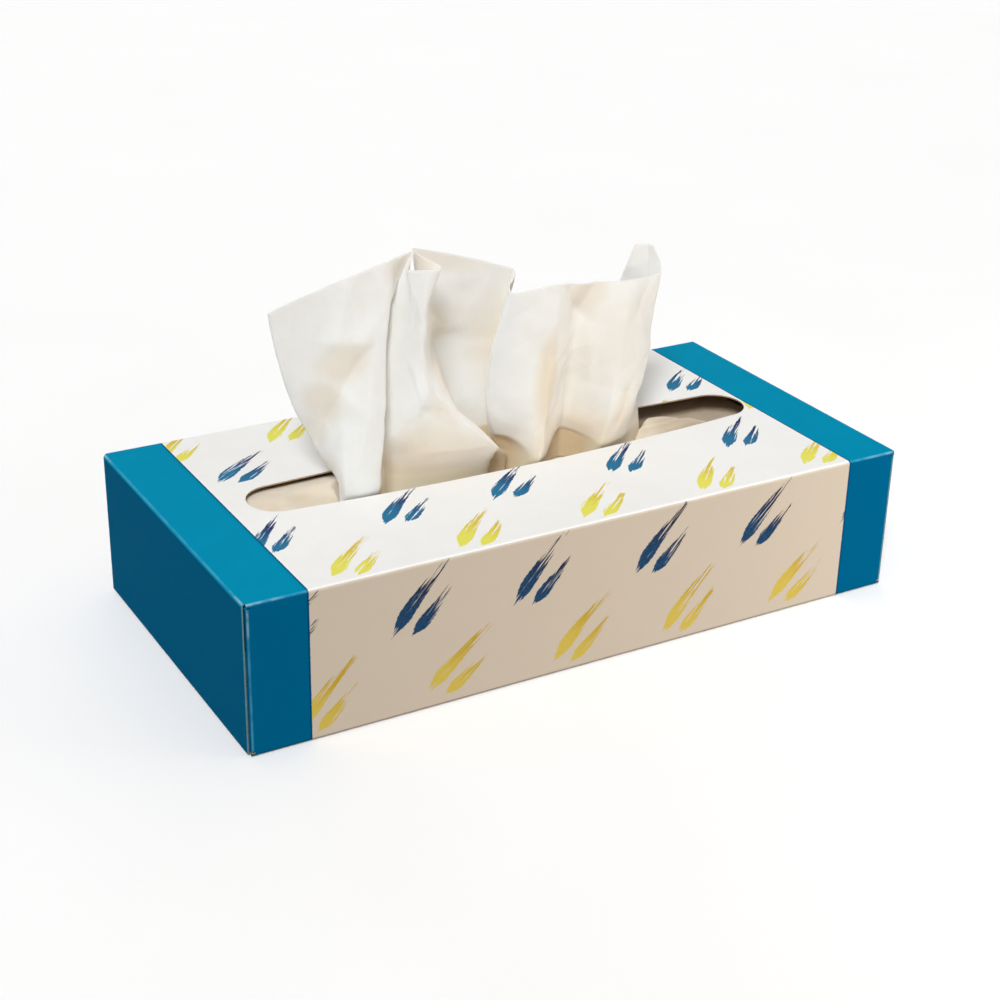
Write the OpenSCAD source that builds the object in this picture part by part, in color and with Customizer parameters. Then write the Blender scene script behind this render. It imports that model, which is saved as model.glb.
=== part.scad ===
// Flat tissue box: a folded card carton, the stack of interfolded tissues in it,
// and the top tissue pulled up through the long slot in the lid panel.
// Lengths in mm. Origin at the middle of the carton's underside, front towards -Y.

/* [Carton] */
// Outside length of the carton
box_l = 235; // [215:1:260]
// Outside width of the carton, front to back
box_w = 118; // [110:1:130]
// Outside height of the carton
box_h = 50; // [40:1:90]
// Thickness of the card
card_t = 0.5; // [0.3:0.05:0.7]
// Outside radius of a folded card edge
fold_r = 1.2; // [0.9:0.1:2]

/* [Flaps] */
// Reach of a dust flap, from the front or back panel
dust_flap_l = 40; // [25:1:50]
// Height of the inner end flap, up from the bottom panel
inner_flap_h = 34; // [20:1:36]
// Strip left bare beside the outer end flap
outer_flap_side = 1.2; // [0.8:0.1:3]
// Strip left bare below the outer end flap
outer_flap_foot = 0.8; // [0.4:0.1:4]
// Cut back of the dust and inner flaps from the fold lines beside them
flap_relief = 0.6; // [0.4:0.1:2]
// Height of the glue flap inside the back panel
glue_flap_h = 14; // [8:1:20]

/* [Slot] */
// Length of the slot
slot_l = 187; // [160:1:195]
// Radius of the slot's round ends
slot_end_r = 10; // [8:0.5:12]
// Bow of the slot's front edge
slot_front_bow = 4; // [2:0.5:6]
// Bow of the slot's back edge
slot_back_bow = 2; // [1:0.5:6]
// Middle of the slot along the box
slot_x = 3; // [-4:0.5:4]
// Middle of the slot's round ends across the box
slot_y = 1.4; // [-4:0.1:4]

/* [Tissue stack] */
// Free height over the stack
headroom = 7; // [5:0.5:20]
// Free length at each end of the stack
stack_end_gap = 9.5; // [2:0.5:12]
// Free width at each side of the stack
stack_side_gap = 5; // [2:0.5:8]
// Rounded folds that show along each side of the stack
stack_folds = 14; // [8:1:20]
// Overlap of one rounded fold with the next
fold_lap = 0.6; // [0.4:0.1:1]
// Height of the flat sheet left over and under the row of folds
fold_margin = 0.3; // [0.2:0.1:1]
// Set-back of every second fold
fold_stagger = 0.8; // [0.2:0.1:1.2]
// Play under the stack, and under the tissue that stands on it
rest_gap = 0.02; // [0:0.01:0.1]

/* [Pulled-up tissue] */
// Height of the pulled-up tissue over the lid panel
pull_h = 72; // [50:1:80]
// Width across the free edge
pull_w = 142; // [120:1:150]
// Depth of the folds at the free edge
pull_d = 14; // [8:1:20]
// Shift of the free edge's middle to the left of the slot's middle
pull_shift = 13; // [0:1:18]
// Thickness of the doubled soft sheet
sheet_t = 0.5; // [0.4:0.1:0.7]
// Clearance from the sheet's middle to the edge of the slot
slot_clear = 0.7; // [0.6:0.1:1.5]
// Share of its reach across the slot that the tissue keeps down at the stack
stack_reach = 0.65; // [0.4:0.05:0.9]
// Steps from one fold line to the next
fold_steps = 5; // [3:1:6]
// Steps from the slot up to the free edge
rise_steps = 12; // [8:1:14]

/* [Hidden] */
$fn = 64;

end_x = box_l / 2;
side_y = box_w / 2;
// ends of the bottom panel and of the front and back panels, each one card in from the last
bottom_end_x = end_x - card_t;
wall_end_x = bottom_end_x - card_t;
tube_l = 2 * (wall_end_x - fold_r);
inside_l = 2 * (wall_end_x - card_t);
inside_w = box_w - 2 * card_t;
inside_h = box_h - 2 * card_t;
flap_w = box_w - 2 * outer_flap_side;
inner_flap_w = box_w - 2 * (fold_r + flap_relief);
dust_flap_h = box_h - 2 * (fold_r + flap_relief);
outer_flap_drop = box_h - fold_r - outer_flap_foot;
// run of the bottom and lid panels out to their end folds, from one card inside the tube
bottom_run = bottom_end_x - wall_end_x + card_t;
lid_run = end_x - wall_end_x + card_t;

// the slot's bowed edges are arcs that run smoothly into the round ends
slot_end_x = slot_l / 2 - slot_end_r;
front_depth = slot_end_r + slot_front_bow;
back_depth = slot_end_r + slot_back_bow;
front_r = (pow(slot_end_x, 2) + pow(front_depth, 2) - pow(slot_end_r, 2)) / (2 * slot_front_bow);
back_r = (pow(slot_end_x, 2) + pow(back_depth, 2) - pow(slot_end_r, 2)) / (2 * slot_back_bow);
front_touch_x = slot_end_x * front_r / (front_r - slot_end_r);
back_touch_x = slot_end_x * back_r / (back_r - slot_end_r);
front_touch_y = -slot_end_r * (front_r - front_depth) / (front_r - slot_end_r);
back_touch_y = slot_end_r * (back_r - back_depth) / (back_r - slot_end_r);
front_clip_y = -2 * front_depth;
back_clip_y = 2 * back_depth;

stack_l = inside_l - 2 * stack_end_gap;
stack_w = inside_w - 2 * stack_side_gap;
stack_h = inside_h - headroom;
stack_top = card_t + rest_gap + stack_h;
sheet_foot_z = stack_top + rest_gap;
stack_pitch = (stack_h - 2 * fold_margin - fold_lap) / stack_folds;
stack_fold_r = (stack_pitch + fold_lap) / 2;
stack_fold_z = fold_margin + stack_fold_r;
stack_core_w = stack_w - 2 * (stack_fold_r + fold_stagger);

// Fold lines of the pulled-up tissue, from its left edge to its right edge, as shares:
// foot along the slot, foot across the slot, head along and across the free edge,
// head height, and the bow of the line along and across at half height
FOLDS = [
    [-0.65,  0.40, -1.00,  0.40,  0.83, -0.06,  0.00],
    [-0.69, -0.80, -0.74, -0.15,  0.94,  0.00, -0.20],
    [-0.57, -0.85, -0.50, -0.25,  1.00,  0.01, -0.25],
    [-0.49,  0.10, -0.33,  0.10,  1.02, -0.13,  0.10],
    [-0.41, -0.25, -0.40, -0.71,  0.97,  0.00, -0.73],
    [-0.03, -0.67, -0.26, -1.05,  0.97, -0.24, -0.15],
    [-0.14,  0.55, -0.28,  1.05,  1.00,  0.00,  0.35],
    [-0.05,  0.70,  0.22,  1.00,  0.84,  0.00,  0.20],
    [-0.03,  0.05,  0.12, -0.70,  0.79, -0.13, -0.50],
    [ 0.04, -0.95,  0.35, -0.85,  0.80,  0.00, -0.40],
    [ 0.21,  0.10,  0.54, -0.40,  0.77, -0.02,  0.10],
    [ 0.31, -0.85,  0.74, -0.45,  0.75,  0.00, -0.50],
    [ 0.43, -0.60,  0.99,  0.30,  0.73,  0.01, -0.20],
    [ 0.58,  0.50,  0.98,  0.95,  0.84, -0.02,  0.20],
    [ 0.46,  0.75,  0.90,  1.25,  0.85, -0.06,  0.20],
];
last_fold = len(FOLDS) - 1;
sheet_cols = last_fold * fold_steps;
// heights of the sheet's rows: two below the lid panel, then up to the free edge
ROWS = concat([-1, -0.5], [for (i = [0:rise_steps]) i / rise_steps]);

function mix(a, b, s) = a + (b - a) * s;
function curve(a, b, c, d, s) = 0.5 * (2 * b + (c - a) * s
    + (2 * a - 5 * b + 4 * c - d) * pow(s, 2) + (3 * b - a - 3 * c + d) * pow(s, 3));

// room across the slot at a place along it, in front of and behind the middle of its ends
function bow_at(along) = 1 - pow(along * slot_l / 2 / slot_end_x, 2);
function front_room(along) = slot_end_r + slot_front_bow * bow_at(along) - slot_clear;
function back_room(along) = slot_end_r + slot_back_bow * bow_at(along) - slot_clear;
function foot(f, reach) = [
    slot_x + f[0] * slot_l / 2,
    slot_y + reach * f[1] * (f[1] < 0 ? front_room(f[0]) : back_room(f[0])),
];
function head(f) = [slot_x - pull_shift + f[2] * pull_w / 2, f[3] * pull_d / 2];
function bow(f) = [f[5] * pull_w / 2, f[6] * pull_d / 2];
function fold_point(f, s) = s < 0
    ? concat(foot(f, mix(1, stack_reach, -s)), mix(box_h, sheet_foot_z, -s))
    : concat(mix(foot(f, 1), head(f), s) + 4 * s * (1 - s) * bow(f), box_h + s * f[4] * pull_h);
function row_point(row, u) =
    let (k = min(floor(u), last_fold - 1))
    curve(row[max(k - 1, 0)], row[k], row[k + 1], row[min(k + 2, last_fold)], u - k);
function row_points(s) =
    let (row = [for (f = FOLDS) fold_point(f, s)])
    [for (j = [0:sheet_cols]) row_point(row, j / fold_steps)];
function level_normal(a, b) = [a[1] - b[1], b[0] - a[0], 0] / norm([a[1] - b[1], b[0] - a[0]]);
function row_normals(row) = [for (j = [0:sheet_cols])
    level_normal(row[max(j - 1, 0)], row[min(j + 1, sheet_cols)])];

carton();
tissue_stack();
popup_tissue();

module carton() {
    color("lightblue") {
        difference() {
            panel_tube();
            slot_cut();
        }
        glue_flap();
        end_flaps();
        mirror([1, 0, 0]) end_flaps();
    }
}

module tissue_stack() {
    color("white")
        translate([0, 0, card_t + rest_gap])
            rotate([90, 0, 90])
                linear_extrude(height = stack_l, center = true)
                    stack_profile();
}

module popup_tissue() {
    middle = [for (s = ROWS) row_points(s)];
    normals = [for (row = middle) row_normals(row)];
    last_row = len(ROWS) - 1;
    row_len = sheet_cols + 1;
    side_len = len(ROWS) * row_len;
    points = [for (side = [0.5, -0.5]) for (i = [0:last_row]) for (j = [0:sheet_cols])
        middle[i][j] + side * sheet_t * normals[i][j]];
    cells = [for (i = [0:last_row - 1]) for (j = [0:sheet_cols - 1])
        [i * row_len + j, i * row_len + j + 1, (i + 1) * row_len + j + 1, (i + 1) * row_len + j]];
    back = [for (c = cells) for (t = [[c[0], c[1], c[2]], [c[0], c[2], c[3]]]) t];
    front = [for (t = back) [t[2], t[1], t[0]] + side_len * [1, 1, 1]];
    edge = concat(
        [for (j = [0:1:sheet_cols]) j],
        [for (i = [1:1:last_row]) i * row_len + sheet_cols],
        [for (j = [sheet_cols - 1:-1:0]) last_row * row_len + j],
        [for (i = [last_row - 1:-1:1]) i * row_len]);
    rim = [for (k = [0:len(edge) - 1])
        let (a = edge[k], b = edge[(k + 1) % len(edge)])
        for (t = [[b, a, a + side_len], [b, a + side_len, b + side_len]]) t];
    color("whitesmoke") polyhedron(points = points, faces = concat(back, front, rim));
}

// the four long panels, folded into a tube along the box; the folds run on to the corners
module panel_tube() {
    translate([0, 0, box_h / 2])
        rotate([90, 0, 90]) {
            linear_extrude(height = tube_l, center = true) tube_outline();
            linear_extrude(height = 2 * wall_end_x, center = true)
                intersection() {
                    tube_outline();
                    fold_corners();
                }
        }
}

module tube_outline() {
    difference() {
        rounded_plate(box_w, box_h, fold_r);
        rounded_plate(inside_w, inside_h, fold_r - card_t);
    }
}

// squares that hold the four folds of the tube
module fold_corners() {
    for (x = [-1, 1], y = [-1, 1])
        translate([x * (side_y - fold_r / 2), y * (box_h - fold_r) / 2])
            square(fold_r, center = true);
}

module rounded_plate(w, h, r) {
    square([w - 2 * r, h], center = true);
    square([w, h - 2 * r], center = true);
    for (x = [-1, 1], y = [-1, 1])
        translate([x * (w / 2 - r), y * (h / 2 - r)]) circle(r);
}

module slot_cut() {
    translate([slot_x, slot_y, box_h - 2 * card_t])
        linear_extrude(height = 3 * card_t)
            slot_outline();
}

module slot_outline() {
    intersection() {
        translate([0, front_r - front_depth]) circle(front_r);
        translate([0, back_depth - back_r]) circle(back_r);
        polygon([
            [-front_touch_x, front_touch_y], [-front_touch_x, front_clip_y],
            [front_touch_x, front_clip_y], [front_touch_x, front_touch_y],
            [back_touch_x, back_touch_y], [back_touch_x, back_clip_y],
            [-back_touch_x, back_clip_y], [-back_touch_x, back_touch_y],
        ]);
    }
    for (x = [-1, 1])
        translate([x * slot_end_x, 0]) circle(slot_end_r);
}

// glued flat inside the back panel
module glue_flap() {
    translate([-tube_l / 2, side_y - 2 * card_t, card_t])
        cube([tube_l, card_t, glue_flap_h]);
}

// the closed end: dust flaps inside, then the flap of the bottom panel, then that of the lid panel
module end_flaps() {
    dust_flap();
    mirror([0, 1, 0]) dust_flap();
    inner_flap();
    outer_flap();
}

module dust_flap() {
    translate([wall_end_x - fold_r, fold_r - side_y, box_h / 2]) {
        rotate([0, 0, -90]) bent_strip(dust_flap_h);
        translate([fold_r - card_t, 0, -dust_flap_h / 2])
            cube([card_t, dust_flap_l - fold_r, dust_flap_h]);
    }
}

module inner_flap() {
    translate([bottom_end_x - fold_r, -inner_flap_w / 2, fold_r]) {
        translate([-bottom_run, 0, -fold_r])
            cube([bottom_run, inner_flap_w, card_t]);
        translate([0, inner_flap_w / 2, 0])
            rotate([90, 0, 0]) rotate([0, 0, -90]) bent_strip(inner_flap_w);
        translate([fold_r - card_t, 0, 0])
            cube([card_t, inner_flap_w, inner_flap_h - fold_r]);
    }
}

module outer_flap() {
    translate([end_x - fold_r, -flap_w / 2, box_h - fold_r]) {
        translate([-lid_run, 0, fold_r - card_t])
            cube([lid_run, flap_w, card_t]);
        translate([0, flap_w / 2, 0])
            rotate([90, 0, 0]) bent_strip(flap_w);
        translate([fold_r - card_t, 0, -outer_flap_drop])
            cube([card_t, flap_w, outer_flap_drop]);
    }
}

// card bent round a quarter turn, as long as the fold
module bent_strip(length) {
    rotate_extrude(angle = 90)
        translate([fold_r - card_t, -length / 2])
            square([card_t, length]);
}

// the flat block of tissues, with a row of rounded folds down each side
module stack_profile() {
    translate([-stack_core_w / 2, 0]) square([stack_core_w, stack_h]);
    for (i = [0:stack_folds - 1], side = [-1, 1])
        translate([side * (stack_core_w / 2 + fold_stagger * (i % 2)), stack_fold_z + i * stack_pitch])
            circle(stack_fold_r);
}
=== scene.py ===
import math
import bmesh
import bpy
import numpy as np
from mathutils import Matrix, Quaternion, Vector, noise


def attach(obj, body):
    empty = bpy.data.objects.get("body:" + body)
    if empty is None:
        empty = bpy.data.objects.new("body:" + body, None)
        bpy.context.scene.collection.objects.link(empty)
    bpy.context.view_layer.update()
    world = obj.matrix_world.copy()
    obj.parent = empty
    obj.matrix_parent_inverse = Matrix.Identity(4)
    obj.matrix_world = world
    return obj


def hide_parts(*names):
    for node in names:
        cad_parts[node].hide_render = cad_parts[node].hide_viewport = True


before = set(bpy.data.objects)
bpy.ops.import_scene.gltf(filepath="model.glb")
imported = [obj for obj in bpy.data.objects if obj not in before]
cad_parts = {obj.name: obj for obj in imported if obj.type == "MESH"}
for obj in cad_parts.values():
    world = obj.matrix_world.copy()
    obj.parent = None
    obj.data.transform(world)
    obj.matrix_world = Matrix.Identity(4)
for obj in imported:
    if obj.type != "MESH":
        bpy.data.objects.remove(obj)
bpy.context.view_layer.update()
mm = 0.001
print("frame loaded:", sorted(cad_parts))


# node helpers

def linear(r, g, b):
    # screen colour 0-255 to the linear colour that the shaders use
    shares = [c / 255 for c in (r, g, b)]
    return tuple(c / 12.92 if c < 0.0408 else ((c + 0.055) / 1.055) ** 2.4 for c in shares) + (1.0,)


def newFinish(name):
    finish = bpy.data.materials.new(name)
    finish.use_nodes = True
    return finish, finish.node_tree, finish.node_tree.nodes["Principled BSDF"]


def plug(tree, socket, value):
    if isinstance(value, bpy.types.NodeSocket):
        tree.links.new(value, socket)
    else:
        socket.default_value = value


def calc(tree, operation, *values, clamp=False):
    node = tree.nodes.new("ShaderNodeMath")
    node.operation = operation
    node.use_clamp = clamp
    for socket, value in zip(node.inputs, values):
        plug(tree, socket, value)
    return node.outputs[0]


def ramp(tree, value, low, high, bottom=0.0, top=1.0):
    # smooth step from bottom to top as value goes from low to high
    node = tree.nodes.new("ShaderNodeMapRange")
    node.interpolation_type = "SMOOTHSTEP"
    for socket, v in zip(node.inputs, (value, low, high, bottom, top)):
        plug(tree, socket, v)
    return node.outputs[0]


def blend(tree, share, first, second):
    node = tree.nodes.new("ShaderNodeMix")
    node.data_type = "RGBA"
    plug(tree, node.inputs["Factor"], share)
    plug(tree, node.inputs["A"], first)
    plug(tree, node.inputs["B"], second)
    return node.outputs["Result"]


def join(tree, x, y, z=0.0):
    node = tree.nodes.new("ShaderNodeCombineXYZ")
    for socket, v in zip(node.inputs, (x, y, z)):
        plug(tree, socket, v)
    return node.outputs[0]


def split(tree, vector):
    node = tree.nodes.new("ShaderNodeSeparateXYZ")
    tree.links.new(vector, node.inputs[0])
    return node.outputs


def stretch(tree, vector, scale):
    node = tree.nodes.new("ShaderNodeVectorMath")
    node.operation = "MULTIPLY"
    tree.links.new(vector, node.inputs[0])
    node.inputs[1].default_value = scale if hasattr(scale, "__len__") else (scale,) * 3
    return node.outputs[0]


def cloud(tree, vector, scale, detail=3.0, roughness=0.5):
    node = tree.nodes.new("ShaderNodeTexNoise")
    tree.links.new(vector, node.inputs["Vector"])
    node.inputs["Scale"].default_value = scale
    node.inputs["Detail"].default_value = detail
    node.inputs["Roughness"].default_value = roughness
    return node.outputs[0]


def dice(tree, vector):
    # one random colour for each whole-number place
    node = tree.nodes.new("ShaderNodeTexWhiteNoise")
    node.noise_dimensions = "3D"
    tree.links.new(vector, node.inputs["Vector"])
    return split(tree, node.outputs["Color"])


def relief(tree, height, depth, under=None):
    node = tree.nodes.new("ShaderNodeBump")
    node.inputs["Strength"].default_value = 1.0
    node.inputs["Distance"].default_value = depth
    tree.links.new(height, node.inputs["Height"])
    if under is not None:
        tree.links.new(under, node.inputs["Normal"])
    return node.outputs[0]


def places(tree):
    # place in mm and direction of the surface, both in the object's own frame
    node = tree.nodes.new("ShaderNodeTexCoord")
    return stretch(tree, node.outputs["Object"], 1000.0), node.outputs["Normal"]


# camera

view = {
    "lens": 67.43,  # on a 36 mm sensor
    "place": (-0.2867, -0.4887, 0.2990),
    "forward": (0.4564, 0.7813, -0.4258),
    "roll": 1.286,  # degrees
}


def makeCamera():
    data = bpy.data.cameras.new("photoCamera")
    data.sensor_width = 36.0
    data.sensor_fit = "HORIZONTAL"
    data.lens = view["lens"]
    data.clip_start = 0.01
    data.clip_end = 50.0
    camera = bpy.data.objects.new("photoCamera", data)
    bpy.context.scene.collection.objects.link(camera)
    camera.location = view["place"]
    camera.rotation_mode = "QUATERNION"
    look = Vector(view["forward"]).to_track_quat("-Z", "Y")
    camera.rotation_quaternion = look @ Quaternion((0, 0, 1), math.radians(view["roll"]))
    bpy.context.scene.camera = camera
    print("camera set")


# carton: printed card

carton = {
    "length": 235.0, "width": 118.0, "height": 50.0,
    "bandStart": 97.5,  # from the middle to the blue end band
    "lidWhite": linear(240, 241, 241),
    # the side cream and side blue are the lid white and lid blue with painted shade
    "sideCreamShaded": linear(204, 193, 178),
    "lidBlue": linear(0, 140, 178),
    "sideBlueShaded": linear(0, 95, 138),
    "blueShade": linear(0, 92, 132),  # slight unevenness of the blue and of the paper
    "paperShade": linear(196, 178, 150),
    "bandLine": linear(4, 60, 104),  # hairline where the inks lap
    # paler blue for the painted highlight and the rubbed ink along the folds
    "blueHighlightAndScuff": linear(84, 164, 196),
    "cornerScuff": linear(176, 210, 224),
    # bare card inside, darkened as painted shade for the inside of the box, and its cut edges, each from dark
    # to pale fibres
    "rawCardShaded": (linear(160, 136, 106), linear(184, 160, 128)),
    "rawEdge": (linear(90, 126, 140), linear(116, 150, 158)),
    # inks of the dashes, on the sides and on the lid, the side ones darker as painted shade
    "dashTeal": (linear(6, 62, 102), linear(12, 108, 150)),
    "dashNavy": (linear(4, 18, 58), linear(12, 30, 92)),
    "dashLemon": (linear(206, 184, 82), linear(226, 222, 92)),
    "dashOchre": (linear(188, 158, 44), linear(212, 186, 46)),
    "columnPitch": 43.0, "rowPitch": 24.5, "rowStart": 9.0,
    "stagger": 0.36,  # of a column, from one row to the next
    "placeSpread": 5.0,  # mm along the row
    "slant": 43.0,  # degrees from the box's length
    "slantSpread": 0.22,  # radians in all
    # start, length, place across, half width and bow of the two dashes of a pair
    "longDash": (-15.0, 30.0, 2.1, 2.5, 4.0),
    "shortDash": (-12.0, 20.0, -3.7, 2.2, -2.5),
    # where the raw edges of the outer end flaps show
    "flapFrom": 115.4, "flapFootFrom": 116.95, "flapHalfWidth": 58.2,
    "cornerFrom": 209.0, "cornerTo": 223.0,  # |x| + |y| + z of the rubbed upper corners
    "gloss": 0.002,
    "waveDepth": 0.22, "grainDepth": 0.012,  # mm
}


def dash(tree, along, across, start, length, offset, halfWidth, bow, streak, ragged):
    # one tapered brush dash: full at its start, dry and thin at its end
    t = calc(tree, "DIVIDE", calc(tree, "SUBTRACT", along, start), length)
    arch = calc(tree, "MULTIPLY", calc(tree, "MULTIPLY", t, calc(tree, "SUBTRACT", 1.0, t)), bow)
    b = calc(tree, "ABSOLUTE", calc(tree, "SUBTRACT", calc(tree, "SUBTRACT", across, offset), arch))
    b = calc(tree, "ADD", b, ragged)
    body = calc(tree, "MULTIPLY", ramp(tree, t, -0.1, 0.22), ramp(tree, t, 0.15, 1.0, 1.0, 0.34))
    wide = calc(tree, "MULTIPLY", body, halfWidth)
    inside = ramp(tree, calc(tree, "SUBTRACT", wide, b), -0.12, 0.18)
    blunt = calc(tree, "ADD", t, calc(tree, "MULTIPLY", calc(tree, "SUBTRACT", streak, 0.5), 0.5))
    ends = calc(tree, "MULTIPLY", ramp(tree, blunt, 0.0, 0.03), ramp(tree, blunt, 0.98, 0.92))
    dry = ramp(tree, t, 0.0, 0.95, 0.30, 0.55)
    inked = ramp(tree, calc(tree, "SUBTRACT", streak, dry), -0.03, 0.05)
    return calc(tree, "MULTIPLY", calc(tree, "MULTIPLY", inside, ends), inked)


def makeCartonFinish():
    finish, tree, shader = newFinish("printedCard")
    place, normal = places(tree)
    x, y, z = split(tree, place)
    nx, ny, nz = split(tree, normal)
    absX, absNx, absNy, absNz = [calc(tree, "ABSOLUTE", v) for v in (x, nx, ny, nz)]

    # printed outside or bare inside: does the surface look away from the middle of the box
    away = calc(tree, "MULTIPLY", nx, calc(tree, "DIVIDE", x, carton["length"] / 2))
    away = calc(tree, "ADD", away, calc(tree, "MULTIPLY", ny, calc(tree, "DIVIDE", y, carton["width"] / 2)))
    half = carton["height"] / 2
    overMiddle = calc(tree, "DIVIDE", calc(tree, "SUBTRACT", z, half), half)
    away = calc(tree, "ADD", away, calc(tree, "MULTIPLY", nz, overMiddle))
    printed = calc(tree, "GREATER_THAN", away, 0.3)

    # cut edges of the outer end flaps
    atEnd = calc(tree, "GREATER_THAN", absX, carton["flapFrom"])
    sideCut = calc(tree, "MULTIPLY", calc(tree, "GREATER_THAN", absNy, 0.7),
                   calc(tree, "LESS_THAN", calc(tree, "ABSOLUTE", y), carton["flapHalfWidth"]))
    footCut = calc(tree, "MULTIPLY", calc(tree, "LESS_THAN", nz, -0.7),
                   calc(tree, "GREATER_THAN", absX, carton["flapFootFrom"]))
    cut = calc(tree, "MULTIPLY", atEnd, calc(tree, "MAXIMUM", sideCut, footCut))

    # the four long faces rolled out flat: v runs up the front, over the top and down the back
    onTop = calc(tree, "GREATER_THAN", nz, absNy)
    onFront = calc(tree, "GREATER_THAN", calc(tree, "MULTIPLY", ny, -1.0), absNz)
    onBack = calc(tree, "GREATER_THAN", ny, absNz)
    drop = carton["width"] / 2 + carton["height"]
    v = calc(tree, "MULTIPLY", onTop, y)
    v = calc(tree, "ADD", v, calc(tree, "MULTIPLY", onFront, calc(tree, "SUBTRACT", z, drop)))
    v = calc(tree, "ADD", v, calc(tree, "MULTIPLY", onBack, calc(tree, "SUBTRACT", drop, z)))
    faced = calc(tree, "MAXIMUM", onTop, calc(tree, "MAXIMUM", onFront, onBack))

    # staggered rows of paired dashes, one row blue and the next one yellow
    rowAt = calc(tree, "DIVIDE", calc(tree, "ADD", v, carton["rowStart"]), carton["rowPitch"])
    row = calc(tree, "FLOOR", rowAt)
    odd = calc(tree, "PINGPONG", row, 1.0)
    columnAt = calc(tree, "ADD", calc(tree, "DIVIDE", x, carton["columnPitch"]),
                    calc(tree, "MULTIPLY", row, carton["stagger"]))
    column = calc(tree, "FLOOR", columnAt)
    chance = dice(tree, join(tree, column, row, 3.0))
    localX = calc(tree, "SUBTRACT", calc(tree, "FRACT", columnAt), 0.5)
    localX = calc(tree, "MULTIPLY", localX, carton["columnPitch"])
    localV = calc(tree, "SUBTRACT", calc(tree, "FRACT", rowAt), 0.5)
    localV = calc(tree, "MULTIPLY", localV, carton["rowPitch"])
    nudge = calc(tree, "MULTIPLY", calc(tree, "SUBTRACT", chance[0], 0.5), carton["placeSpread"])
    localX = calc(tree, "ADD", localX, nudge)
    lean = calc(tree, "MULTIPLY", calc(tree, "SUBTRACT", chance[1], 0.5), carton["slantSpread"])
    turn = calc(tree, "ADD", math.radians(carton["slant"]), lean)
    cosine, sine = calc(tree, "COSINE", turn), calc(tree, "SINE", turn)
    along = calc(tree, "ADD", calc(tree, "MULTIPLY", localX, cosine),
                 calc(tree, "MULTIPLY", localV, sine))
    across = calc(tree, "SUBTRACT", calc(tree, "MULTIPLY", localV, cosine),
                  calc(tree, "MULTIPLY", localX, sine))
    # streaks run along each dash, other ones for each row and column
    brushX = calc(tree, "ADD", calc(tree, "MULTIPLY", along, 0.05), calc(tree, "MULTIPLY", column, 7.3))
    brushAt = join(tree, brushX, across, calc(tree, "MULTIPLY", row, 5.1))
    streak = cloud(tree, brushAt, 1.5, 3.0, 0.6)
    flatPlace = join(tree, x, v, 0.0)
    ragged = calc(tree, "MULTIPLY", calc(tree, "SUBTRACT", cloud(tree, flatPlace, 1.1, 3.0), 0.5), 0.9)
    longDash = dash(tree, along, across, *carton["longDash"], streak, ragged)
    shortDash = dash(tree, along, across, *carton["shortDash"], streak, ragged)
    marks = calc(tree, "MULTIPLY", calc(tree, "MAXIMUM", longDash, shortDash), faced)
    uneven = calc(tree, "MULTIPLY", calc(tree, "SUBTRACT", streak, 0.5), 14.0)
    reach = ramp(tree, calc(tree, "ADD", along, uneven), -9.0, 7.0)
    inks = ("dashTeal", "dashNavy", "dashLemon", "dashOchre")
    # the side tones of the inks are painted shade
    teal, navy, lemon, ochre = [blend(tree, onTop, *carton[name]) for name in inks]
    blueInk = blend(tree, reach, teal, navy)
    yellowInk = blend(tree, reach, lemon, ochre)
    ink = blend(tree, odd, yellowInk, blueInk)

    # ground colours, the sides darker than the lid as painted shade, with the light unevenness of a printed
    # sheet
    mottle = cloud(tree, place, 0.09, 4.0, 0.55)
    fine = cloud(tree, place, 2.6, 2.0)
    blue = blend(tree, onTop, carton["sideBlueShaded"], carton["lidBlue"])
    blue = blend(tree, ramp(tree, mottle, 0.2, 0.8, 0.10, 0.0), blue, carton["blueShade"])
    paper = blend(tree, onTop, carton["sideCreamShaded"], carton["lidWhite"])
    paper = blend(tree, ramp(tree, mottle, 0.25, 0.8, 0.05, 0.0), paper, carton["paperShade"])
    edgeAt = calc(tree, "ADD", absX, calc(tree, "MULTIPLY", calc(tree, "SUBTRACT", fine, 0.5), 0.25))
    band = ramp(tree, edgeAt, carton["bandStart"] - 0.1, carton["bandStart"] + 0.1)
    paper = blend(tree, calc(tree, "MULTIPLY", marks, ramp(tree, fine, 0.2, 0.75, 0.93, 1.0)), paper, ink)
    outside = blend(tree, band, paper, blue)
    # a darker hairline where the two inks lap at the edge of the band
    lap = calc(tree, "MULTIPLY", ramp(tree, edgeAt, carton["bandStart"] - 0.15, carton["bandStart"] + 0.1),
               ramp(tree, edgeAt, carton["bandStart"] + 0.75, carton["bandStart"] + 0.4))
    outside = blend(tree, calc(tree, "MULTIPLY", lap, 0.75), outside, carton["bandLine"])

    # painted highlight along the folds, with patches of rubbed ink
    flatness = calc(tree, "MAXIMUM", absNx, calc(tree, "MAXIMUM", absNy, absNz))
    fold = ramp(tree, calc(tree, "SUBTRACT", 1.0, flatness), 0.03, 0.22)
    patchy = cloud(tree, place, 0.16, 5.0, 0.6)
    highlightAndRub = ramp(tree, patchy, 0.36, 0.66, 0.22, 0.62)
    foldHighlightAndWear = calc(tree, "MULTIPLY", calc(tree, "MULTIPLY", fold, highlightAndRub), ramp(tree, band, 0.0, 1.0, 0.55, 1.0))
    # the upper corners are rubbed nearly white
    nearCorner = calc(tree, "ADD", calc(tree, "ADD", absX, calc(tree, "ABSOLUTE", y)), z)
    bumped = calc(tree, "MULTIPLY", ramp(tree, nearCorner, carton["cornerFrom"], carton["cornerTo"]),
                  ramp(tree, patchy, 0.36, 0.58, 0.0, 0.8))
    highlightAndScuff = blend(tree, bumped, carton["blueHighlightAndScuff"], carton["cornerScuff"])
    highlightedAndScuffed = blend(tree, band, carton["lidWhite"], highlightAndScuff)
    outside = blend(tree, foldHighlightAndWear, outside, highlightedAndScuffed)

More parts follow.
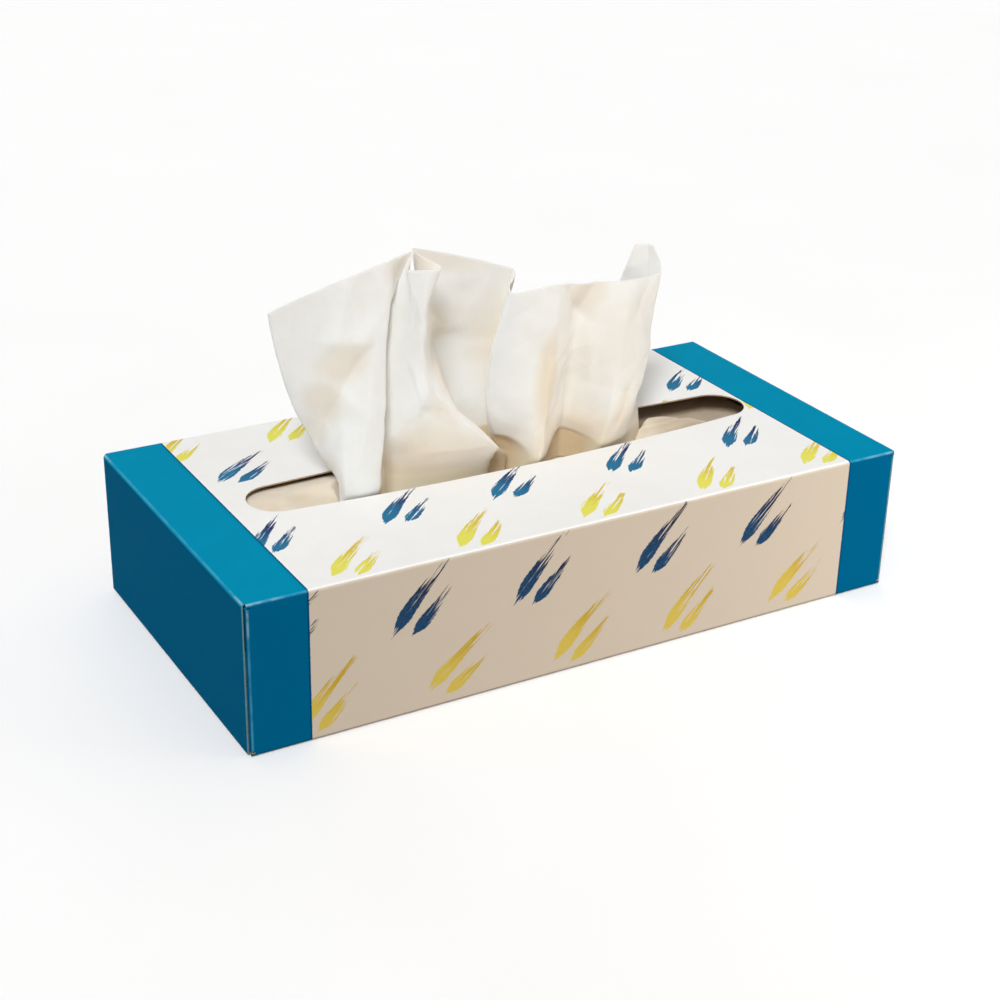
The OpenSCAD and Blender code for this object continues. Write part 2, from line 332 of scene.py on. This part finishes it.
    fibres = cloud(tree, stretch(tree, place, (0.35, 2.2, 1.4)), 1.0, 4.0, 0.65)
    bareShaded = blend(tree, ramp(tree, fibres, 0.3, 0.72), *carton["rawCardShaded"])
    rawEdge = blend(tree, ramp(tree, fibres, 0.3, 0.7), *carton["rawEdge"])
    colour = blend(tree, printed, bareShaded, outside)
    colour = blend(tree, cut, colour, rawEdge)
    plug(tree, shader.inputs["Base Color"], colour)

    rough = calc(tree, "ADD", 0.44, calc(tree, "MULTIPLY", mottle, 0.12))
    rough = calc(tree, "ADD", rough, calc(tree, "MULTIPLY", foldHighlightAndWear, 0.25))
    rough = calc(tree, "ADD", rough, calc(tree, "MULTIPLY", calc(tree, "SUBTRACT", 1.0, printed), 0.4))
    plug(tree, shader.inputs["Roughness"], rough)
    shader.inputs["Specular IOR Level"].default_value = carton["gloss"]
    waves = relief(tree, cloud(tree, place, 0.028, 2.0), carton["waveDepth"] * mm)
    grain = relief(tree, cloud(tree, place, 3.5, 3.0, 0.6), carton["grainDepth"] * mm, waves)
    plug(tree, shader.inputs["Normal"], grain)
    return finish


def dressCarton():
    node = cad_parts["carton"]
    node.data.materials.clear()
    node.data.materials.append(makeCartonFinish())
    print("carton dressed")


# tissue: soft two-ply paper

tissue = {
    "pulled": (linear(236, 235, 229), linear(242, 242, 238)),
    # painted shade: the stacked sheets are the same paper, darker and warmer than the pulled one
    "stackedShaded": (linear(214, 200, 178), linear(228, 216, 196)),
    "creamShade": linear(220, 198, 175),  # painted shade, warmer and darker, over creases and low above the slot
    # painted shade for the sheet down in the slot
    "inSlotShade": linear(240, 220, 190),
    "inHollowShade": linear(206, 180, 146),  # painted shade in the two small arches at its foot
    "inBoxShade": linear(158, 136, 110),  # painted shade on the stack where it lies deep in the box
    "glow": (1.0, 0.86, 0.72),  # how far each colour spreads inside the sheet
    "glowDepth": 1.6, "ridgeDepth": 0.10, "fibreDepth": 0.05,  # mm
    # from where to where each painted shade comes in, in mm
    "creamLevels": (74.0, 55.0), "slotLevels": (58.0, 53.0), "innerFrom": (-54.0, -44.0),
    "boxFrom": (54.0, 64.0), "boxLevels": (48.6, 42.5),
}


def makeTissueFinish(name, tones, crepe, gathered=False):
    finish, tree, shader = newFinish(name)
    place, normal = places(tree)
    x, y, z = split(tree, place)
    soft = cloud(tree, place, 0.06, 3.0)
    colour = blend(tree, ramp(tree, soft, 0.35, 0.65), tones[0], tones[1])
    if gathered:
        # the painted shade shows on the front of the sheet, its back is one plain white
        front = ramp(tree, split(tree, normal)[1], 0.3, -0.1, 0.12, 1.0)
        doubled = tree.nodes.new("ShaderNodeAttribute")
        doubled.attribute_name = "doubled"
        colour = blend(tree, calc(tree, "MULTIPLY", doubled.outputs["Fac"], front), colour, tissue["creamShade"])
        # painted shade: warmer and darker low on the sheet and in the slot
        level = calc(tree, "ADD", z, calc(tree, "MULTIPLY", soft, 8.0))
        inner = calc(tree, "MULTIPLY", ramp(tree, x, *tissue["innerFrom"]), front)
        low = calc(tree, "MULTIPLY", ramp(tree, level, *tissue["creamLevels"], 0.0, 0.66), inner)
        colour = blend(tree, low, colour, tissue["creamShade"])
        slotShade = calc(tree, "MULTIPLY", ramp(tree, level, *tissue["slotLevels"], 0.0, 0.85), inner)
        colour = blend(tree, slotShade, colour, tissue["inSlotShade"])
        # painted shade in the arches at the foot
        hollowShade = tree.nodes.new("ShaderNodeAttribute")
        hollowShade.attribute_name = "hollowShade"
        colour = blend(tree, calc(tree, "MULTIPLY", hollowShade.outputs["Fac"], front), colour, tissue["inHollowShade"])
    else:
        # painted shade on the stack deep in the box, on the right
        deepShade = calc(tree, "MULTIPLY", ramp(tree, x, *tissue["boxFrom"]),
                    ramp(tree, z, *tissue["boxLevels"], 0.42, 0.52))
        colour = blend(tree, deepShade, colour, tissue["inBoxShade"])
    plug(tree, shader.inputs["Base Color"], colour)
    shader.inputs["Roughness"].default_value = 0.9
    shader.inputs["Specular IOR Level"].default_value = 0.2
    shader.inputs["Subsurface Weight"].default_value = 0.85
    shader.inputs["Subsurface Radius"].default_value = tissue["glow"]
    shader.inputs["Subsurface Scale"].default_value = tissue["glowDepth"] * mm
    shader.inputs["Sheen Weight"].default_value = 0.25
    shader.inputs["Sheen Roughness"].default_value = 0.6
    ridges = cloud(tree, stretch(tree, place, crepe), 1.0, 4.0, 0.6)
    fibres = cloud(tree, place, 1.6, 4.0, 0.65)
    crepeRelief = relief(tree, ridges, tissue["ridgeDepth"] * mm)
    plug(tree, shader.inputs["Normal"], relief(tree, fibres, tissue["fibreDepth"] * mm, crepeRelief))
    return finish


def gridMesh(name, points, columns):
    # points row by row, joined into quads
    rows = len(points) // columns
    faces = [(i * columns + j, i * columns + j + 1, (i + 1) * columns + j + 1, (i + 1) * columns + j)
             for i in range(rows - 1) for j in range(columns - 1)]
    mesh = bpy.data.meshes.new(name)
    mesh.from_pydata([tuple(p) for p in points], [], faces)
    mesh.polygons.foreach_set("use_smooth", [True] * len(mesh.polygons))
    mesh.update()
    return mesh


def addPiece(name, mesh, finish):
    piece = bpy.data.objects.new(name, mesh)
    bpy.context.scene.collection.objects.link(piece)
    mesh.materials.append(finish)
    return piece


# tissue stack: interfolded sheets, the next one humped up into the slot

stack = {
    "halfLength": 106.5, "halfWidth": 53.5, "floor": 0.52, "top": 42.52,
    "folds": 34, "foldDepth": 0.7,
    "footLeft": -62.6, "footRight": 44.8,  # where the pulled-up sheet's foot ends at its front
    "humpLeft": 6.0, "leftMiddle": 1.0, "leftHalfWidth": 21.0, "leftEnd": -106.0,
    # pleats over the left hump: place across, rise and width
    "leftFolds": [(3.5, 0.5, 2.2), (-0.5, -0.4, 1.6)], "leftLean": 0.22,
    "humpRight": 8.6, "rightMiddle": 1.2, "rightHalfWidth": 8.6, "rightEnd": 105.0,
    "sagRight": 3.0, "sagMiddle": 2.0, "sagHalfWidth": 16.0, "sagEnd": 104.0,
    # pleats over the right hump: place across, lean, rise and width
    "rightFolds": [
        (-5.0, 0.10, 0.9, 1.3), (-1.0, 0.04, 1.2, 1.1),
        (3.0, -0.03, 1.0, 1.1), (6.4, -0.08, 1.2, 1.4),
    ],
    "stepsX": 178, "stepsY": 110,
}


def smooth(t):
    t = np.clip(t, 0, 1)
    return t * t * (3 - 2 * t)


def noiseField(points, scale, seed):
    return np.array([noise.noise(Vector((p[0] * scale, p[1] * scale, p[2] * scale + seed))) for p in points])


def sheetEdge(y):
    # left end of the pulled sheet's foot
    return stack["footLeft"] + 0.28 * np.clip(y + 8.6, 0, 14.4) + 1.2 * np.clip(y - 5.6, 0, 9.0)


def rightEdge(y):
    # right end of it
    return stack["footRight"] + 1.08 * np.clip(y + 6.1, 0, 12.2)


def stackTop(x, y):
    # height of the top sheet over its flat level: the next sheet stands up beside the pulled one
    border = sheetEdge(y)
    left = smooth((border - x) / 1.2) * smooth((x - stack["leftEnd"]) / 14.0)
    left = left * np.exp(-((y - stack["leftMiddle"]) / stack["leftHalfWidth"]) ** 4) * stack["humpLeft"]
    shift = stack["leftLean"] * (x + 76.0)
    pleats = sum(high * np.exp(-((y - middle - shift) / wide) ** 2)
                 for middle, high, wide in stack["leftFolds"])
    left = left + pleats * smooth((border - x) / 4.0) * smooth((x + 92.0) / 12.0)
    # on the right it lies in a pleated hump in front of a hollow
    right = smooth((x - rightEdge(y)) / 3.0) * smooth((stack["sagEnd"] - x) / 8.0)
    pleats = 0.0
    for middle, lean, high, wide in stack["rightFolds"]:
        bend = 0.5 * np.sin(x * 0.17 + middle)
        pleats = pleats + high * np.exp(-((y - middle - bend - lean * (x - 56.0)) / wide) ** 2)
    end = stack["rightEnd"] - 1.4 * (y + 6.0)
    swell = np.exp(-((y - stack["rightMiddle"]) / stack["rightHalfWidth"]) ** 4) * smooth((end - x) / 28.0)
    sag = stack["sagRight"] * np.exp(-((y - stack["sagMiddle"]) / stack["sagHalfWidth"]) ** 4)
    return left + right * ((stack["humpRight"] + pleats) * swell - sag)


def makeStack():
    nx, ny = stack["stepsX"], stack["stepsY"]
    xs = np.linspace(-stack["halfLength"], stack["halfLength"], nx + 1)
    ys = np.linspace(-stack["halfWidth"] + 2.0, stack["halfWidth"] - 2.0, ny + 1)
    gx, gy = np.meshgrid(xs, ys, indexing="ij")
    flat = np.stack([gx.ravel(), gy.ravel(), np.zeros(gx.size)], 1)
    # 0 under the pulled-up sheet, 1 to the left and right of it
    clear = np.maximum(smooth((sheetEdge(flat[:, 1]) - flat[:, 0]) / 6.0),
                       smooth((flat[:, 0] - rightEdge(flat[:, 1])) / 6.0))
    wave = 0.35 * noiseField(flat, 0.045, 5.0) + 0.12 * noiseField(flat, 0.16, 9.0)
    top = stack["top"] - 0.32 + stackTop(flat[:, 0], flat[:, 1]) + wave * (0.25 + 0.75 * clear)
    top = np.where(clear > 0, top, np.minimum(top, stack["top"]))
    # each side goes down in rounded folds, every second one set back
    side = []
    levels = stack["folds"] * 4
    for k in range(1, levels + 1):
        t = k / levels
        wide = abs(math.sin(math.pi * stack["folds"] * t)) * stack["foldDepth"]
        back = 0.5 * ((k // 4) % 2)
        side.append((1.0 - t, wide - back))
    points, columns = [], ny + 1 + 2 * levels
    for i in range(nx + 1):
        crown = top.reshape(nx + 1, ny + 1)[i]
        for sign in (-1, 1):
            rim = crown[0] if sign < 0 else crown[-1]
            run = []
            for h, w in side:
                uneven = 0.25 * noise.noise(Vector((xs[i] * 0.05, sign, h * 40)))
                run.append((xs[i], sign * (stack["halfWidth"] - 1.2 + w + uneven),
                            stack["floor"] + h * (rim - 0.4 - stack["floor"])))
            if sign < 0:
                points += run[::-1]
                points += [(xs[i], ys[j], crown[j]) for j in range(ny + 1)]
            else:
                points += run
    mesh = gridMesh("tissueStack", np.array(points) * mm, columns)
    # close the two ends and the underside
    work = bmesh.new()
    work.from_mesh(mesh)
    work.verts.ensure_lookup_table()
    for i in (0, nx):
        ring = [work.verts[i * columns + j] for j in range(columns)]
        work.faces.new(ring if i == 0 else ring[::-1])
    for i in range(nx):
        a, b = i * columns, (i + 1) * columns
        work.faces.new([work.verts[k] for k in (a, b, b + columns - 1, a + columns - 1)])
    bmesh.ops.recalc_face_normals(work, faces=work.faces)
    work.to_mesh(mesh)
    work.free()
    finish = makeTissueFinish("stackedTissue", tissue["stackedShaded"], (0.5, 2.0, 1.0))
    piece = addPiece("tissue_stack_folded", mesh, finish)
    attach(piece, "root")
    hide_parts("tissue_stack")
    print("stack made:", len(mesh.vertices), "points")


# pulled-up tissue: one sheet gathered in the slot

pulled = {
    "lidTop": 50.0, "footLevel": 42.54,
    "slotLength": 187.0, "slotEndRadius": 10.0, "frontBow": 4.0, "backBow": 2.0,
    "slotX": 3.0, "slotY": 1.4, "clearance": 0.7, "reachBelow": 0.65,
    "height": 72.0, "width": 142.0, "depth": 14.0, "shift": 13.0,
    "thickness": 0.3,
    "columnsPerFold": 20, "rowsBelow": 10, "rowsAbove": 96,
    "flatPanels": 0.4,  # 0 is all round folds, 1 is all flat panels
    "foldWidth": 16.0,  # from one fold line to the next on the sheet laid flat
    # fold lines from left to right: foot along and across the slot, head along and across,
    # head height, and the bow along and across at half height
    "folds": [
        (-0.65, 0.40, -1.00, 0.40, 0.83, -0.06, 0.00),
        (-0.69, -0.80, -0.74, -0.15, 0.94, 0.00, -0.20),
        (-0.57, -0.85, -0.50, -0.25, 1.00, 0.01, -0.25),
        (-0.49, 0.10, -0.33, 0.10, 1.02, -0.13, 0.10),
        (-0.41, -0.25, -0.40, -0.71, 0.97, 0.00, -0.73),
        (-0.03, -0.67, -0.26, -1.05, 0.97, -0.24, -0.15),
        (-0.14, 0.55, -0.28, 1.05, 1.00, 0.00, 0.35),
        (-0.05, 0.70, 0.22, 1.00, 0.84, 0.00, 0.20),
        (-0.03, 0.05, 0.12, -0.70, 0.79, -0.13, -0.50),
        (0.04, -0.95, 0.35, -0.85, 0.80, 0.00, -0.40),
        (0.21, 0.10, 0.54, -0.40, 0.77, -0.02, 0.10),
        (0.31, -0.85, 0.74, -0.45, 0.75, 0.00, -0.50),
        (0.43, -0.60, 0.99, 0.30, 0.73, 0.01, -0.20),
        (0.58, 0.50, 0.98, 0.95, 0.84, -0.02, 0.20),
        (0.46, 0.75, 0.90, 1.25, 0.85, -0.06, 0.20),
    ],
    # creases: from fold and height, to fold and height, rise in mm, width to the left and right
    "creases": [
        (1.62, 0.68, 0.20, 0.25, -2.4, 12.0, 10.0),
        (0.75, 0.76, 1.66, 0.68, 2.0, 13.0, 15.0),
        (1.42, 1.02, 1.00, 0.72, 1.2, 8.0, 12.0),
        (1.75, 0.62, 1.30, 0.10, 1.0, 7.0, 9.0),
        (4.50, 0.50, 3.35, 0.17, 2.6, 16.0, 11.0),
        (5.35, 0.82, 6.35, 0.58, 1.6, 8.0, 9.0),
        (5.60, 0.48, 6.40, 0.60, -1.2, 8.0, 8.0),
        (6.40, 0.60, 6.80, 0.92, 0.9, 8.0, 8.0),
        (9.04, 1.02, 10.33, 0.74, -1.5, 8.0, 8.0),
        (10.33, 0.74, 10.60, 0.25, 1.0, 7.0, 7.0),
        (8.85, 0.72, 9.28, 0.08, -2.2, 9.0, 9.0),
        (11.60, 0.42, 11.30, 0.05, -1.0, 5.0, 7.0),
        (11.00, 0.95, 11.90, 0.55, 0.8, 6.0, 6.0),
        (13.30, 1.02, 12.60, 0.70, 0.8, 5.0, 5.0),
    ],
    "smallCreases": 62, "smallArea": (224.0, 74.0),
    "smallRise": (0.15, 0.62), "smallReach": (12.0, 38.0), "smallWidth": (2.5, 8.0),
    "facets": 8, "facetRise": (0.30, 0.80), "facetLength": (26.0, 60.0),
    "softRise": 0.5, "fineRise": 0.12,  # slow and quick waves of the paper
    "evenOut": 6,  # columns to each side
    "seed": 11,
    # patches of painted shade over creases and recesses: fold, height, half size of both, share
    "doubled": [
        (1.15, 0.63, 0.55, 0.10, 0.50), (0.65, 0.47, 0.45, 0.13, 0.50), (0.30, 0.33, 0.35, 0.10, 0.35),
        (2.50, 0.96, 0.45, 0.07, 0.45), (5.60, 0.96, 0.50, 0.07, 0.45), (6.25, 0.96, 0.45, 0.06, 0.40),
        (5.95, 0.64, 0.40, 0.11, 0.40), (5.60, 0.36, 0.45, 0.16, 0.50), (7.20, 0.58, 0.75, 0.36, 0.50),
        (4.30, 0.16, 0.80, 0.15, 0.55), (4.70, 0.30, 0.40, 0.12, 0.50), (9.00, 0.45, 0.32, 0.32, 0.85),
        (9.20, 0.15, 0.40, 0.16, 0.70), (10.00, 0.93, 0.75, 0.14, 0.55), (11.40, 0.22, 0.32, 0.17, 0.70),
        (10.60, 0.10, 0.80, 0.10, 0.55), (10.30, 0.50, 2.10, 0.60, 0.36),
    ],
    # hollows at the foot, pushed back and given painted shade: place along the box, height, half length, half
    # height, depth
    "arches": [(-2.5, 50.5, 6.0, 6.0, 7.5), (22.0, 49.5, 8.0, 4.0, 4.0)], "archShade": 0.85,
}


def foldPoint(fold, s):
    halfSlot = pulled["slotLength"] / 2
    endX = halfSlot - pulled["slotEndRadius"]

    def foot(reach):
        bow = pulled["frontBow"] if fold[1] < 0 else pulled["backBow"]
        room = pulled["slotEndRadius"] + bow * (1 - (fold[0] * halfSlot / endX) ** 2) - pulled["clearance"]
        return np.array([pulled["slotX"] + fold[0] * halfSlot, pulled["slotY"] + reach * fold[1] * room])

    if s < 0:
        below = -s
        spot = foot(1 + (pulled["reachBelow"] - 1) * below)
        return np.append(spot, pulled["lidTop"] + (pulled["footLevel"] - pulled["lidTop"]) * below)
    head = np.array([pulled["slotX"] - pulled["shift"] + fold[2] * pulled["width"] / 2,
                     fold[3] * pulled["depth"] / 2])
    bow = np.array([fold[5] * pulled["width"] / 2, fold[6] * pulled["depth"] / 2])
    spot = foot(1) * (1 - s) + head * s + 4 * s * (1 - s) * bow
    return np.append(spot, pulled["lidTop"] + s * fold[4] * pulled["height"])


def rowAcross(s):
    # a row of the sheet: between a round curve and flat panels through the fold lines
    line = np.array([foldPoint(f, s) for f in pulled["folds"]])
    last = len(line) - 1
    row = []
    for c in range(last * pulled["columnsPerFold"] + 1):
        a = c / pulled["columnsPerFold"]
        k = min(int(a), last - 1)
        t = a - k
        p, q, r, w = line[max(k - 1, 0)], line[k], line[k + 1], line[min(k + 2, last)]
        curve = 0.5 * (2 * q + (r - p) * t + (2 * p - 5 * q + 4 * r - w) * t ** 2
                       + (3 * q - p - 3 * r + w) * t ** 3)
        row.append(curve + ((q + (r - q) * t) - curve) * pulled["flatPanels"])
    return np.array(row)


def crease(across, up, start, end, high, left, right):
    # a sharp line that dies out smoothly to both sides and at both ends
    start, end = np.array(start), np.array(end)
    run = np.linalg.norm(end - start)
    d = (end - start) / run
    t = ((across - start[0]) * d[0] + (up - start[1]) * d[1]) / run
    off = (across - start[0]) * -d[1] + (up - start[1]) * d[0]
    width = np.where(off > 0, left, right)
    profile = np.clip(1 - np.abs(off) / width, 0, 1) ** 2
    return high * profile * smooth((t + 0.12) / 0.34) * smooth((1.12 - t) / 0.34)


def facets(across, up, flat, rng):
    # long straight folds in a few directions, each over a part of the sheet, leave flat facets
    lift = np.zeros(across.shape)
    for i in range(pulled["facets"]):
        lean = rng.uniform(0, math.pi)
        length = rng.uniform(*pulled["facetLength"])
        t = (across * math.cos(lean) + up * math.sin(lean)) / length + rng.random()
        fan = np.abs(t % 1.0 - 0.5) * 4 - 1
        part = smooth(noiseField(flat, 0.022, 20.0 + 3.0 * i).reshape(across.shape) / 0.35 + 0.35)
        lift += rng.uniform(*pulled["facetRise"]) * fan * part
    return lift


def makePulled():
    heights = np.concatenate([np.linspace(-1, 0, pulled["rowsBelow"], endpoint=False),
                              np.linspace(0, 1, pulled["rowsAbove"] + 1)])
    sheet = np.array([rowAcross(s) for s in heights])
    rows, columns = sheet.shape[:2]
    facing = np.cross(np.gradient(sheet, axis=1), np.gradient(sheet, axis=0))
    facing /= np.linalg.norm(facing, axis=2, keepdims=True) + 1e-9
    # evened out along each row, so the relief dies away in tight turns
    reach = pulled["evenOut"]
    wider = np.pad(facing, ((0, 0), (reach, reach), (0, 0)), mode="edge")
    facing = sum(wider[:, k:k + columns] for k in range(2 * reach + 1)) / (2 * reach + 1)
    fold = np.arange(columns)[None, :] / pulled["columnsPerFold"] + np.zeros((rows, 1))
    rise = heights[:, None] + np.zeros((1, columns))
    wide, high = pulled["foldWidth"], pulled["height"]
    across, up = fold * wide, rise * high
    flat = np.stack([across.ravel(), up.ravel(), np.zeros(fold.size)], 1)
    rng = np.random.default_rng(pulled["seed"])
    lift = facets(across, up, flat, rng)
    for a0, s0, a1, s1, size, left, right in pulled["creases"]:
        lift += crease(across, up, (a0 * wide, s0 * high), (a1 * wide, s1 * high), size, left, right)
    for i in range(pulled["smallCreases"]):
        start = np.array([rng.uniform(0, size) for size in pulled["smallArea"]])
        lean = rng.normal(0, 0.55) + (math.pi / 2 if rng.random() < 0.65 else rng.uniform(0, math.pi))
        end = start + rng.uniform(*pulled["smallReach"]) * np.array([math.cos(lean), math.sin(lean)])
        size = rng.uniform(*pulled["smallRise"]) * (1 if rng.random() < 0.55 else -1)
        left, right = rng.uniform(*pulled["smallWidth"]), rng.uniform(*pulled["smallWidth"])
        lift += crease(across, up, start, end, size, left, right)
    lift += pulled["softRise"] * noiseField(flat, 0.045, 2.0).reshape(rows, columns)
    lift += pulled["fineRise"] * noiseField(flat, 0.2, 7.0).reshape(rows, columns)
    sheet += facing * (lift * smooth(rise / 0.16))[:, :, None]
    # painted shade in the arches
    hollowShade = np.zeros(fold.shape)
    for x, z, halfLength, halfHeight, depth in pulled["arches"]:
        away = np.hypot((sheet[:, :, 0] - x) / halfLength, np.maximum(sheet[:, :, 2] - z, 0) / halfHeight)
        arch = smooth((1.15 - away) / 0.3)
        hollowShade = np.maximum(hollowShade, pulled["archShade"] * arch)
        sheet[:, :, 1] += depth * arch * smooth((9.0 - sheet[:, :, 1]) / 22.0)
    mesh = gridMesh("pulledTissue", sheet.reshape(-1, 3) * mm, columns)
    # painted shade patches, kept as a point attribute
    doubled = np.zeros(fold.shape)
    for a, s, halfFold, halfRise, share in pulled["doubled"]:
        away = np.hypot((fold - a) / halfFold, (rise - s) / halfRise)
        doubled = np.maximum(doubled, share * smooth(1.4 - away))
    mesh.attributes.new("doubled", "FLOAT", "POINT").data.foreach_set("value", doubled.ravel())
    mesh.attributes.new("hollowShade", "FLOAT", "POINT").data.foreach_set("value", hollowShade.ravel())
    finish = makeTissueFinish("pulledTissue", tissue["pulled"], (0.9, 0.9, 0.25), gathered=True)
    piece = addPiece("pulled_tissue_sheet", mesh, finish)
    thick = piece.modifiers.new("thickness", "SOLIDIFY")
    thick.thickness = pulled["thickness"] * mm
    thick.offset = 0.0
    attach(piece, "root")
    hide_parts("popup_tissue")
    print("pulled-up tissue made:", len(mesh.vertices), "points")


# floor and light

studio = {
    "floor": (linear(247, 248, 250), linear(249, 250, 252)),
    "floorHalf": 3.0, "floorLevel": -0.0002,
    "bounce": linear(152, 138, 123),  # what the floor throws back on the box
    "floorGlow": 0.06,  # seen by the camera only, so the floor comes out white and keeps the shadow
    # name, where it shines from, strength, angle and colour
    "suns": [
        ("softKey", (-0.42, -0.56, 0.71), 2.38, 16.0, (0.975, 0.99, 1.0)),
        ("softBack", (0.28, 0.90, 0.12), 0.75, 50.0, (0.94, 0.97, 1.0)),
    ],
    "skyColour": (1.0, 0.945, 0.88, 1.0), "skyStrength": 0.41,
    "fillPlace": (0.26, -0.28, 0.05), "fillAim": (0.08, -0.06, 0.03), "fillSize": 0.12, "fillPower": 0.42,
    "fillColour": (1.0, 0.93, 0.85),
}


def seenDirectly(tree):
    # 1 for what the camera sees, also in a reflection or through a clear part
    path = tree.nodes.new("ShaderNodeLightPath")
    seen = calc(tree, "MAXIMUM", path.outputs["Is Camera Ray"], path.outputs["Is Glossy Ray"])
    return calc(tree, "MAXIMUM", seen, path.outputs["Is Transmission Ray"])


def makeStudio():
    size, level = studio["floorHalf"], studio["floorLevel"]
    mesh = gridMesh("floor", [(x, y, level) for y in (-size, 0, size) for x in (-size, 0, size)], 3)
    finish, tree, shader = newFinish("paleFloor")
    seen = seenDirectly(tree)
    place = places(tree)[0]
    tone = blend(tree, ramp(tree, cloud(tree, place, 0.01), 0.3, 0.7), *studio["floor"])
    plug(tree, shader.inputs["Base Color"], blend(tree, seen, studio["bounce"], tone))
    shader.inputs["Roughness"].default_value = 0.9
    shader.inputs["Specular IOR Level"].default_value = 0.1
    shader.inputs["Emission Color"].default_value = (1, 1, 1, 1)
    plug(tree, shader.inputs["Emission Strength"], calc(tree, "MULTIPLY", seen, studio["floorGlow"]))
    floor = addPiece("floor", mesh, finish)

    for name, source, strength, angle, colour in studio["suns"]:
        sun = bpy.data.lights.new(name, "SUN")
        sun.energy = strength
        sun.color = colour
        sun.angle = math.radians(angle)
        lamp = bpy.data.objects.new(name, sun)
        bpy.context.scene.collection.objects.link(lamp)
        lamp.rotation_mode = "QUATERNION"
        lamp.rotation_quaternion = (-Vector(source)).to_track_quat("-Z", "Y")

    fill = bpy.data.lights.new("rightFill", "AREA")
    fill.size = studio["fillSize"]
    fill.energy = studio["fillPower"]
    fill.color = studio["fillColour"]
    lamp = bpy.data.objects.new("rightFill", fill)
    bpy.context.scene.collection.objects.link(lamp)
    lamp.location = studio["fillPlace"]
    lamp.rotation_mode = "QUATERNION"
    lamp.rotation_quaternion = (Vector(studio["fillAim"]) - lamp.location).to_track_quat("-Z", "Y")

    world = bpy.data.worlds.new("studio")
    bpy.context.scene.world = world
    world.use_nodes = True
    tree = world.node_tree
    back = tree.nodes["Background"]
    white = tree.nodes.new("ShaderNodeBackground")
    white.inputs["Color"].default_value = (1, 1, 1, 1)
    white.inputs["Strength"].default_value = 1.0
    back.inputs["Color"].default_value = studio["skyColour"]
    back.inputs["Strength"].default_value = studio["skyStrength"]
    pick = tree.nodes.new("ShaderNodeMixShader")
    tree.links.new(seenDirectly(tree), pick.inputs[0])
    tree.links.new(back.outputs[0], pick.inputs[1])
    tree.links.new(white.outputs[0], pick.inputs[2])
    tree.links.new(pick.outputs[0], tree.nodes["World Output"].inputs[0])
    bpy.context.scene.view_settings.view_transform = "Standard"
    print("studio lit")


makeCamera()
dressCarton()
makeStack()
makePulled()
makeStudio()
